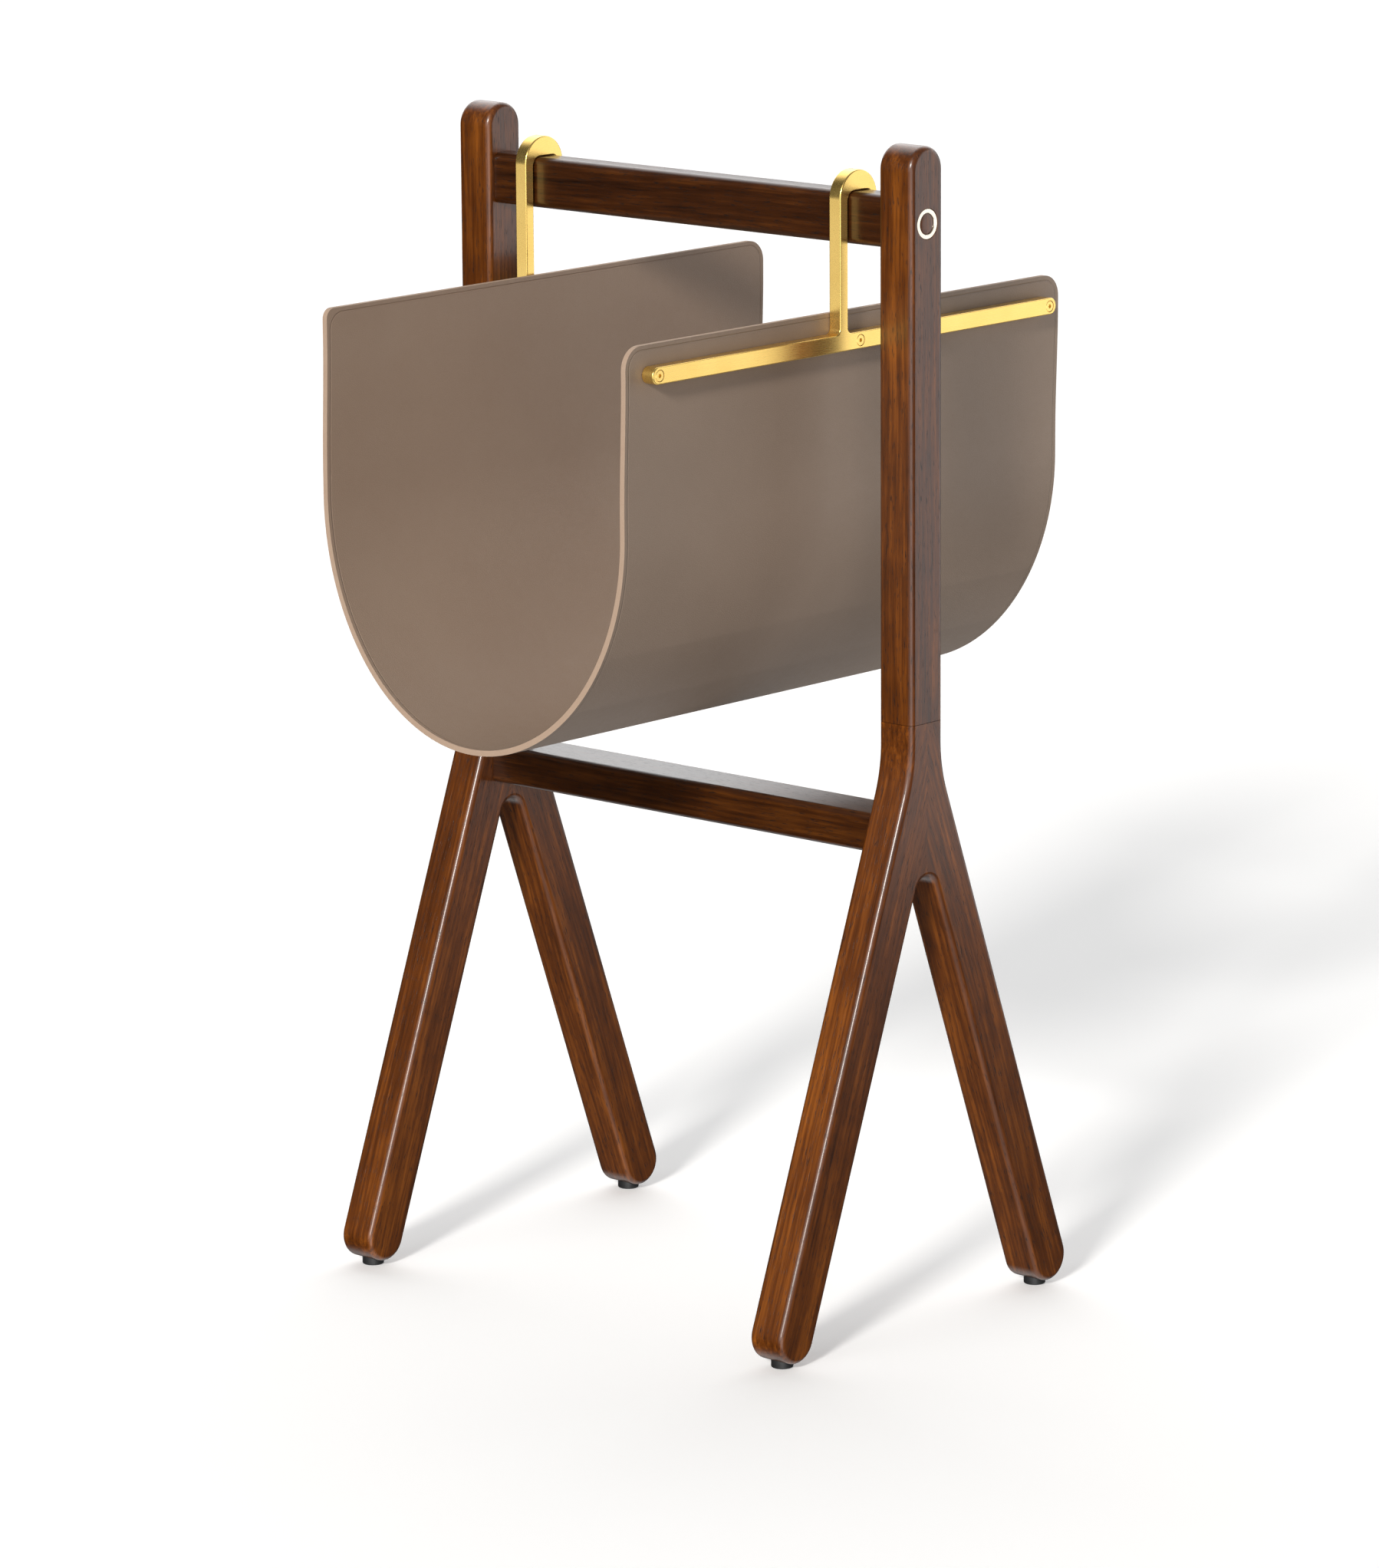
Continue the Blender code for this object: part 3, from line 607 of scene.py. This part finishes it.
# %% Glides
def make_glide(node):
    low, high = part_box(node)
    place = ((low.x + high.x) / 2, (low.y + high.y) / 2, low.z)
    radius = (high.x - low.x) / 2
    height = high.z - low.z
    well_radius = 3.3 * MM
    well_depth = 3.8 * MM
    soft = 1.1 * MM
    corner = [(radius - soft + soft * cos(a), soft - soft * sin(a))
              for a in [pi / 2 * i / 5 for i in range(6)]]
    profile = [(0.0, height), (radius, height), *corner, (well_radius + 0.3 * MM, 0.0),
               (well_radius, 0.3 * MM), (well_radius, well_depth), (0.0, well_depth)]
    shape = turned(profile, place, (0, 0, 1), 48)
    finish_piece(node + "_nylon", to_mesh(node + "_nylon", shape), [NYLON], "frame", node)


for side in SIDES:
    for word in ("front", "rear"):
        make_glide(side + "_" + word + "_glide")
print("glides made")

# %% [markdown]
# ## Hangers
#
# Each hanger is one brass plate: a hook over the rail, a stem, and a long foot along the leather. Its
# outline has round ends, small fillets where the stem meets the foot, and a hook whose inside follows the
# rounded edges of the rail. The plate's edges are broken, because that thin bright line is what
# makes cut brass look like metal. The screw holes are countersunk.

# %% Hanger outline
STEM_WIDTH = 7.7 * MM
STEM_GAP = 1.5 * MM
BACK_GAP = 0.4 * MM
FOOT_DEPTH = 11.5 * MM
STEM_FILLET = 4 * MM
TAIL_DROP = 12 * MM
PLATE_EDGE = 0.9 * MM

rail_low, rail_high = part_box("top_rail")


def hanger_outline(side):
    low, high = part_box(side + "_hanger")
    stem_right = rail_low.y - STEM_GAP
    stem_left = stem_right - STEM_WIDTH
    slot_right = rail_high.y + BACK_GAP
    back = 5.2 * MM
    hook_right = slot_right + back
    slot_top = rail_high.z + 0.3 * MM
    crown_radius = (hook_right - stem_left) / 2
    crown = ((hook_right + stem_left) / 2, high.z - crown_radius)
    tail = (slot_right + back / 2, rail_high.z - TAIL_DROP + back / 2)
    corner = RAIL_ROUND["top_rail"] + STEM_GAP
    back_corner = RAIL_ROUND["top_rail"] + 0.3 * MM
    end = FOOT_DEPTH / 2
    foot_height = low.z + end
    foot_top = low.z + FOOT_DEPTH
    points = arc(tail, back / 2, -pi, 0.0, 12)
    points += arc(crown, crown_radius, 0.0, pi, 56)
    points += arc((stem_left - STEM_FILLET, foot_top + STEM_FILLET), STEM_FILLET, 0.0, -pi / 2, 10)
    points += arc((low.y + end, foot_height), end, pi / 2, 1.5 * pi, 20)
    points += arc((high.y - end, foot_height), end, -pi / 2, pi / 2, 20)
    points += arc((stem_right + STEM_FILLET, foot_top + STEM_FILLET), STEM_FILLET, 1.5 * pi, pi, 10)
    points += arc((stem_right + corner, slot_top - corner), corner, pi, pi / 2, 12)
    points += arc((slot_right - back_corner, slot_top - back_corner), back_corner, pi / 2, 0.0, 12)
    return points


print("hanger outline points:", len(hanger_outline("right")))

# %% Hangers and their screws
SCREW_HEAD = 3.8 * MM
SOCKET_RADIUS = 1.5 * MM
SOCKET_DEPTH = 1.2 * MM


def screw_places(side):
    """Middle of each screw's head on the outer face of the foot."""
    low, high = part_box(side + "_hanger")
    outer = high.x if SIDES[side] > 0 else low.x
    places = {}
    for word in ("front", "middle", "rear"):
        screw_low, screw_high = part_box(side + "_" + word + "_hanger_screw")
        places[word] = Vector((outer, (screw_low.y + screw_high.y) / 2, (screw_low.z + screw_high.z) / 2))
    return places


def countersink(side):
    """Cutter for the three screw heads."""
    shape = bmesh.new()
    sign = SIDES[side]
    for place in screw_places(side).values():
        profile = [(0.0, 1 * MM), (SCREW_HEAD + 0.25 * MM, 1 * MM), (SCREW_HEAD + 0.25 * MM, -2.2 * MM),
                   (0.0, -2.2 * MM)]
        cup = turned(profile, place, (sign, 0, 0), 48)
        part = to_mesh("cup", cup)
        shape.from_mesh(part)
    return to_mesh(side + "_countersink", shape)


def make_screw(name, place, sign, node):
    """A flat brass head with a six-sided socket, and a plain shank behind it."""
    soft = 0.3 * MM
    profile = [(0.0, -0.1 * MM), (SCREW_HEAD - soft, -0.1 * MM), (SCREW_HEAD, -0.1 * MM - soft),
               (SCREW_HEAD, -2.1 * MM), (1.8 * MM, -2.1 * MM), (1.8 * MM, -12 * MM), (0.0, -12 * MM)]
    head = to_mesh(name, turned(profile, place, (sign, 0, 0), 48))
    socket = bmesh.new()
    bmesh.ops.create_cone(socket, cap_ends=True, segments=6, radius1=SOCKET_RADIUS, radius2=SOCKET_RADIUS,
                          depth=2 * SOCKET_DEPTH)
    bmesh.ops.transform(socket, matrix=Matrix.Translation(place) @ Matrix.Rotation(pi / 2, 4, "Y"),
                        verts=socket.verts)
    mesh = carve(head, to_mesh(name + "_socket", socket))
    piece = finish_piece(name, mesh, [BRASS["turned"]], "sling", node)
    even_normals(piece)


for side, sign in SIDES.items():
    low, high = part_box(side + "_hanger")
    shape = plate(hanger_outline(side), low.x, high.x)
    rims = [edge for edge in shape.edges if abs(edge.verts[0].co.x - edge.verts[1].co.x) < 1e-6]
    soften(shape, rims, PLATE_EDGE, 3)
    mesh = carve(to_mesh(side + "_hanger_brass", shape), countersink(side))
    piece = finish_piece(side + "_hanger_brass", mesh, [BRASS["hanger"]], "sling", side + "_hanger")
    even_normals(piece)
    for word, place in screw_places(side).items():
        node = side + "_" + word + "_hanger_screw"
        make_screw(node + "_brass", place, sign, node)
print("hangers made")

# %% [markdown]
# ## Line of the sling
#
# The sling is one sheet of leather, so it has a shape when hung and another when flat. Seen from the end
# it is a line: two straight panels and a round belly. The length of that line is the length of the hide
# that the maker cuts. The belly hangs a little to one side, as a hand-bent sheet does.

# %% Line of the sling
LEATHER_THICKNESS = 4 * MM
CORNER_RADIUS = 15 * MM
FAR_CORNER_RADIUS = 7 * MM
BELLY_HEIGHT = 562 * MM
BELLY_SHIFT = -3 * MM
PANEL_LEAN = -2 * MM

sling_low, sling_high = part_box("leather_sling")


def sling_line():
    """The outside of the leather seen from the end, from the right panel's top round to the left one's."""
    half_width = (sling_high.x - sling_low.x) / 2
    top = sling_high.z
    depth = BELLY_HEIGHT - sling_low.z
    side = [(half_width, top - CORNER_RADIUS * (1 - cos(pi / 2 * i / 14))) for i in range(14)]
    run = top - CORNER_RADIUS - BELLY_HEIGHT
    side += [(half_width, top - CORNER_RADIUS - run * i / 20) for i in range(20)]
    belly = [(half_width * across + BELLY_SHIFT * up * up, BELLY_HEIGHT + depth * up)
             for across, up in arc((0, 0), 1.0, 0.0, -pi, 90)]
    leant = []
    for across, up in side + belly + [(-across, up) for across, up in reversed(side)]:
        below = min(max((top - 20 * MM - up) / (90 * MM), 0.0), 1.0)
        leant.append((across + PANEL_LEAN * below * below * (3 - 2 * below), up))
    return leant


def places_along(line):
    """How far along the line each of its points lies."""
    reached = [0.0]
    for one, two in zip(line, line[1:]):
        reached.append(reached[-1] + (Vector(two) - Vector(one)).length)
    return reached


LINE = sling_line()
REACHED = places_along(LINE)
SHEET_LENGTH = REACHED[-1]
SHEET_WIDTH = sling_high.y - sling_low.y
print("outside of the hide:", round(SHEET_WIDTH * 1000), "by", round(SHEET_LENGTH * 1000), "mm")

# %% [markdown]
# ## Leather
#
# Saddle leather with a smooth taupe finish on both faces. Its cut edges are left raw, so they show the
# pale vegetable-tanned core. The grain is a fine network of cells with faint larger creases. The raw edge
# is fibrous: fine layers that run along the sheet.

# %% Leather
CREASE_INSET = 3.2 * MM
CREASE_WIDTH = 0.7 * MM
TAUPE = (0.262, 0.188, 0.136)
TAUPE_DEEP = (0.212, 0.150, 0.106)
# The inner face takes a slightly lighter, warmer copy of the taupe: painted light, for the light that falls
# into the sling.
TAUPE_INNER_PAINTED_LIGHT = (0.275, 0.192, 0.134)
TAUPE_INNER_PAINTED_LIGHT_DEEP = (0.235, 0.152, 0.100)
RAW_EDGE = (0.44, 0.32, 0.235)
RAW_EDGE_DEEP = (0.33, 0.225, 0.160)


def leather(name, colour, deep, roughness):
    """Fine grain, faint clouds, and a creased line that follows the edge of the sheet."""
    made, hide = material(name)
    spot = hide.object_place()
    sheet_place = hide.add("ShaderNodeUVMap", {"uv_map": "sheet"}).wire(0)
    flat = hide.add("ShaderNodeSeparateXYZ", {}, {0: sheet_place})
    past_side = abs(flat.wire("X") - 0.5) - (SHEET_WIDTH / 2 - CORNER_RADIUS)
    past_top = abs(flat.wire("Y") - 0.5) - (SHEET_LENGTH / 2 - CORNER_RADIUS)
    round_part = (past_side.at_least(0.0) ** 2 + past_top.at_least(0.0) ** 2) ** 0.5
    inset = CORNER_RADIUS - round_part - past_side.at_least(past_top).at_most(0.0)
    crease = 1 - abs(inset - CREASE_INSET).between(0.1 * MM, CREASE_WIDTH)
    cells = hide.add("ShaderNodeTexVoronoi", {"feature": "DISTANCE_TO_EDGE"},
                     {"Vector": hide.place(spot, stretch=(850, 850, 850)), "Scale": 1.0}).wire(0)
    creases = hide.noise(hide.place(spot, stretch=(160, 160, 160)), 1.0, 3.0, 0.6)
    clouds = hide.noise(hide.place(spot, stretch=(9, 9, 9)), 1.0, 4.0, 0.6)
    valley = 1 - cells.between(0.0, 0.12)
    hide.surface({
        "Base Color": hide.mix(clouds.between(0.25, 0.8) * 0.45 + valley * 0.18 + crease * 0.5, colour, deep),
        "Roughness": roughness + creases * 0.14 + valley * 0.08,
        "Specular IOR Level": 0.75,
        "Normal": hide.bump(cells.between(0.0, 0.3) * 0.2 + creases * 0.2 - crease * 1.2, 0.00025)})
    return made


def raw_edge(name):
    made, hide = material(name)
    spot = hide.object_place()
    fibres = hide.noise(hide.place(spot, stretch=(900, 900, 900)), 1.0, 4.0, 0.7)
    patches = hide.noise(hide.place(spot, stretch=(60, 60, 60)), 1.0, 2.0)
    hide.surface({
        "Base Color": hide.mix(fibres * 0.45 + patches * 0.35, RAW_EDGE, RAW_EDGE_DEEP),
        "Roughness": 0.62 + fibres * 0.2,
        "Specular IOR Level": 0.3,
        "Normal": hide.bump(fibres, 0.00015)})
    return made


LEATHER = [leather("leather_outer", TAUPE, TAUPE_DEEP, 0.50),
           leather("leather_inner", TAUPE_INNER_PAINTED_LIGHT, TAUPE_INNER_PAINTED_LIGHT_DEEP, 0.50), raw_edge("leather_raw_edge")]
print("leather finishes:", len(LEATHER))

# %% [markdown]
# ## Leather sling
#
# The line is extruded along the rack and its ends are pulled in round the corners. Each point keeps its
# place on the flat hide as a UV in metres, so the creased line can follow the cut edge round the corners.
# A Solidify modifier gives the leather its thickness, with a separate finish for the cut edge, and a
# Bevel modifier takes off the sharp corner of the edge as an edge tool does.

# %% Leather sling
EDGE_ROUND = 0.9 * MM


def pull_in(shape):
    """Draw the ends of the top rows in, along the round of each corner."""
    half_length = SHEET_WIDTH / 2
    for vert in shape.verts:
        far_front = vert.co.x < 0 and vert.co.y < 0
        radius = FAR_CORNER_RADIUS if far_front else CORNER_RADIUS
        above = vert.co.z - (sling_high.z - radius)
        if above > 0:
            pull = radius - sqrt(max(radius ** 2 - above ** 2, 0.0))
            vert.co.y *= (half_length - pull) / half_length


def lay_flat(shape):
    """Write each point's place on the flat hide into the UV layer."""
    along = {(round(across, 6), round(up, 6)): place for (across, up), place in zip(LINE, REACHED)}
    flat = shape.loops.layers.uv.new("sheet")
    for face in shape.faces:
        for loop in face.loops:
            spot = loop.vert.co
            place = along[(round(spot.x, 6), round(spot.z, 6))]
            loop[flat].uv = (0.5 + spot.y, 0.5 + place - SHEET_LENGTH / 2)


def sling_shape():
    shape = bmesh.new()
    start = [shape.verts.new((across, sling_low.y, up)) for across, up in LINE]
    edges = [shape.edges.new(pair) for pair in zip(start, start[1:])]
    grown = bmesh.ops.extrude_edge_only(shape, edges=edges)["geom"]
    moved = [item for item in grown if isinstance(item, bmesh.types.BMVert)]
    bmesh.ops.translate(shape, verts=moved, vec=(0, SHEET_WIDTH, 0))
    across_edges = [edge for edge in shape.edges if abs(edge.verts[0].co.y - edge.verts[1].co.y) > 1e-6]
    bmesh.ops.subdivide_edges(shape, edges=across_edges, cuts=15, use_grid_fill=True)
    pull_in(shape)
    bmesh.ops.recalc_face_normals(shape, faces=shape.faces)
    lowest = min(shape.faces, key=lambda face: face.calc_center_median().z)
    if lowest.normal.z > 0:
        bmesh.ops.reverse_faces(shape, faces=shape.faces)
    lay_flat(shape)
    return shape


sling = finish_piece("leather_sling_hide", to_mesh("leather_sling_hide", sling_shape()), LEATHER, "sling",
                     "leather_sling")
wall = sling.modifiers.new("thickness", "SOLIDIFY")
wall.thickness = LEATHER_THICKNESS
wall.offset = -1.0
wall.use_even_offset = True
wall.material_offset = 1
wall.material_offset_rim = 2
round_over = sling.modifiers.new("rounded edge", "BEVEL")
round_over.width = EDGE_ROUND
round_over.segments = 3
round_over.material = 0
round_over.limit_method = "ANGLE"
round_over.angle_limit = radians(60)
even_normals(sling)

# %% [markdown]
# ## Pieces carried over
#
# Dowels, bolts, inserts, glide screws and the strips inside the leather keep the shape that the model
# gives them, and only change their finish.

# %% Finishes of carried-over pieces
HIDDEN = {"_dowel": BEECH, "_rail_bolt": STEEL, "_rail_insert": STEEL, "_glide_screw": STEEL,
          "_backing_strip": STEEL}
carried = 0
for name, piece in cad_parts.items():
    for ending, finish in HIDDEN.items():
        if name.endswith(ending):
            piece.data.materials.clear()
            piece.data.materials.append(finish)
            carried += 1
print("pieces carried over:", carried)

# %% [markdown]
# ## Floor
#
# A wide pale sheet of paper. It glows a little, which lifts its shadows to a light grey. The lacquered
# wood would mirror it all along its lower parts, so the floor is hidden from reflected rays.

# %% Floor
FLOOR_REACH = 40.0
FLOOR_GLOW = 0.17

floor_mesh = bmesh.new()
bmesh.ops.create_grid(floor_mesh, x_segments=1, y_segments=1, size=FLOOR_REACH)
floor = bpy.data.objects.new("floor", to_mesh("floor", floor_mesh))
bpy.context.scene.collection.objects.link(floor)
made, paper = material("pale_floor")
mottle = paper.noise(paper.place(paper.object_place(), stretch=(3, 3, 3)), 1.0, 2.0)
paper.surface({"Base Color": paper.mix(mottle, (0.90, 0.90, 0.90), (0.92, 0.92, 0.92)), "Roughness": 0.9,
               "Specular IOR Level": 0.0, "Emission Color": (1.0, 1.0, 1.0, 1.0),
               "Emission Strength": FLOOR_GLOW})
floor.data.materials.append(made)
floor.visible_glossy = False
floor.visible_diffuse = False
print("floor laid")

# %% [markdown]
# ## Key light
#
# One low light from the front throws the long soft shadows. A sun lamp keeps them parallel, and the angle
# it fills, a few degrees, decides how soft they are.

# %% Key light
KEY_DIRECTION = Vector((0.345, -0.9385, 0.47))

sun = bpy.data.lights.new("key", "SUN")
sun.energy = 2.7
sun.angle = radians(9)
sun.color = (1.0, 0.97, 0.93)
key = bpy.data.objects.new("key", sun)
bpy.context.scene.collection.objects.link(key)
key.rotation_mode = "QUATERNION"
key.rotation_quaternion = KEY_DIRECTION.to_track_quat("Z", "Y")
print("key light set")

# %% [markdown]
# ## Light cards
#
# A large card behind and to the right puts the grey sheen on the outer faces of the side frames. Brass is
# nearly a mirror, so it looks dull unless it has something bright to mirror: two small cards stand in
# front on the left and on the right for it. Light linking keeps each card's light to the pieces it is
# meant for, so the wood stays deep and the floor keeps its shadows.

# %% Light cards
CARD_MIDDLE = Vector((1.05, 1.55, 0.67))
CARD_SIZE = (1.5, 1.5)
CARD_RADIANCE = 1.5
BRASS_CARD_SIZE = (1.2, 0.7)
BRASS_CARDS = {"left": (Vector((-1.15, -1.40, 0.30)), 1.1), "right": (Vector((1.80, -0.10, 0.62)), 0.8)}


def light_card(name, middle, size, radiance):
    """A flat bright card that faces the rack and isn't seen by the camera."""
    panel = bpy.data.lights.new(name, "AREA")
    panel.shape = "RECTANGLE"
    panel.size, panel.size_y = size
    panel.energy = radiance * pi * size[0] * size[1]
    card = bpy.data.objects.new(name, panel)
    bpy.context.scene.collection.objects.link(card)
    card.location = middle
    card.rotation_mode = "QUATERNION"
    card.rotation_quaternion = Vector((middle.x, middle.y, 0.0)).to_track_quat("Z", "Y")
    card.visible_camera = False
    return card


def light_only(lamp, name, pieces):
    """Let a light reach only some pieces."""
    lit = bpy.data.collections.new(name)
    for piece in pieces:
        lit.objects.link(piece)
    lamp.light_linking.receiver_collection = lit
    print(lamp.name, "lights", len(pieces), "pieces")


rack_pieces = [item for item in bpy.context.scene.objects if item.type == "MESH" and item != floor]
hanger_pieces = [item for item in rack_pieces if item.name.endswith(("_hanger_brass", "_hanger_screw_brass"))]
light_only(light_card("card", CARD_MIDDLE, CARD_SIZE, CARD_RADIANCE), "rack", rack_pieces)
for side, (middle, radiance) in BRASS_CARDS.items():
    light_only(light_card(side + "_brass_card", middle, BRASS_CARD_SIZE, radiance), side + " hanger light",
               hanger_pieces)

# %% [markdown]
# ## Studio world
#
# Everything else that the lacquer and the brass mirror is painted on the world: a bright backdrop behind
# the rack, a soft patch in front, a glow from the floor below, black flags on the left front and on the
# right, and a patch that lights the rounded edges. Each one is a spot round a direction.

# %% Studio world
world = bpy.data.worlds.new("studio")
bpy.context.scene.world = world
sky = Recipe(world)
toward = sky.add("ShaderNodeTexCoord").wire("Generated")


def glow(direction, wide, narrow):
    """1 towards a direction, and 0 away from it."""
    facing = sky.add("ShaderNodeVectorMath", {"operation": "DOT_PRODUCT"},
                     {0: toward, 1: Vector(direction).normalized()}).wire("Value")
    return facing.between(wide, narrow)


rise = sky.add("ShaderNodeSeparateXYZ", {}, {0: toward}).wire("Z")
above = rise.between(-0.02, 0.12)
backdrop = glow((-0.64, 0.70, 0.32), 0.40, 0.95) * rise.between(0.12, 0.20)
front = glow((0.02, -0.95, 0.32), 0.82, 0.96)
below = glow((0.0, 0.0, -1.0), 0.50, 0.90)
black_left = glow((-0.62, -0.76, 0.0), 0.30, 0.75)
black_right = glow((0.66, 0.72, -0.20), 0.55, 0.85)
arris_light = glow((0.70, -0.69, -0.18), 0.88, 0.97)
upper = 0.20 + backdrop * 2.0
lower = 0.16 - black_right * 0.12 + below * 0.95
strength = (above * upper + (1 - above) * lower) * (1 - black_left * 0.96) + arris_light * 2.2 + front * 1.4
shader = sky.add("ShaderNodeBackground", {}, {"Color": (1.0, 1.0, 1.0, 1.0), "Strength": strength}).wire(0)
sky.add("ShaderNodeOutputWorld", {}, {"Surface": shader})
bpy.context.scene.view_settings.view_transform = "Standard"
print("studio world set")
